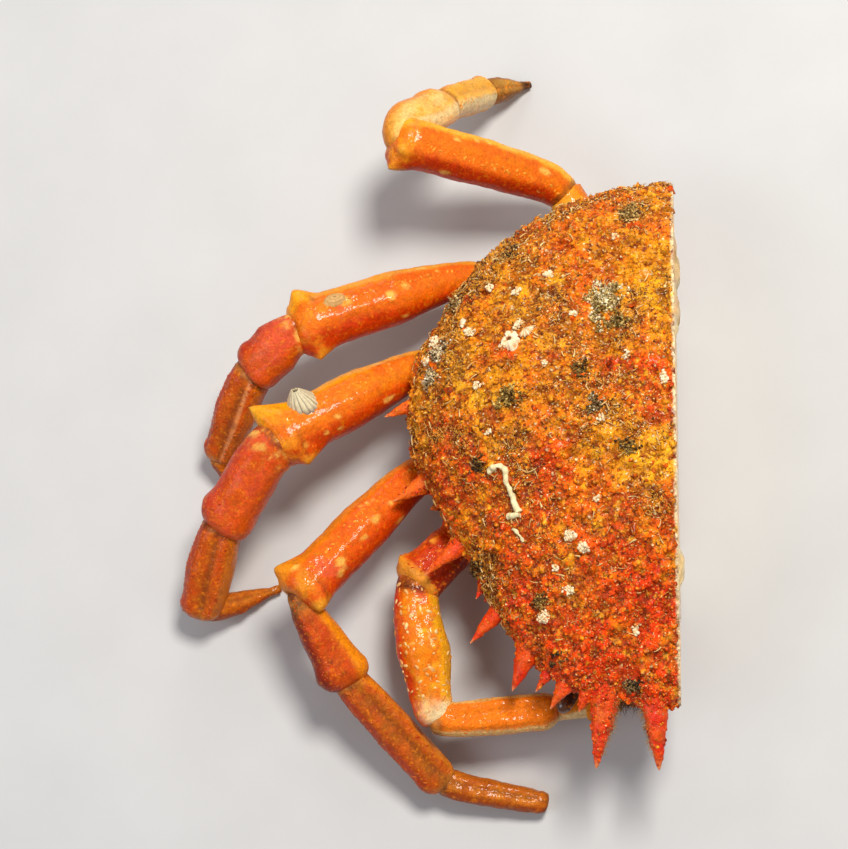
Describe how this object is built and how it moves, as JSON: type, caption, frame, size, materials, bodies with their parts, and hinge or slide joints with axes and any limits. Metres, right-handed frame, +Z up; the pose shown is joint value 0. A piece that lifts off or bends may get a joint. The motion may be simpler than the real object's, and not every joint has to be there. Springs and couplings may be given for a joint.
{
  "type": "halved cooked spider crab",
  "caption": "Half of a cooked spider crab, split lengthwise, with its domed thorny shell, rostral horn spikes, flesh at the cut, slender claw arm and folded walking legs.",
  "frame": {"origin": "middle of the bounding box's base, on the floor the half crab rests on", "axes": "+Y from the horns to the tail end, +Z up, +X from the leg tips to the cut, which is a flat face square to X"},
  "size_m": [0.1452, 0.22, 0.0638],
  "materials": {
    "shell": "rough orange-red carapace with tubercles, hair and specks of growth",
    "limb": "glossy orange-red leg shell with yellow spots",
    "flesh": "moist off-white cooked crab meat",
    "sternum": "satin pale orange underside shell",
    "eye": "glossy near-black",
    "growth": "chalky ribbed barnacle shell"
  },
  "bodies": {
    "root": {"carapace": "shell", "flesh": "flesh", "sternum": "sternum", "tail_flap": "sternum", "maxilliped": "limb", "antenna_base": "limb", "eye": "eye", "barnacle": "growth", "claw_base": "limb", "claw_merus": "limb", "claw_carpus": "limb", "claw_propodus": "limb", "claw_dactyl": "limb", "leg_1_base": "limb", "leg_1_merus": "limb", "leg_1_carpus": "limb", "leg_1_propodus": "limb", "leg_1_dactyl": "limb", "leg_2_base": "limb", "leg_2_merus": "limb", "leg_2_carpus": "limb", "leg_2_propodus": "limb", "leg_2_dactyl": "limb", "leg_3_base": "limb", "leg_3_merus": "limb", "leg_3_carpus": "limb", "leg_3_propodus": "limb", "leg_3_dactyl": "limb", "leg_4_base": "limb", "leg_4_merus": "limb", "leg_4_carpus": "limb", "leg_4_propodus": "limb", "leg_4_dactyl": "limb"}
  },
  "joints": []
}
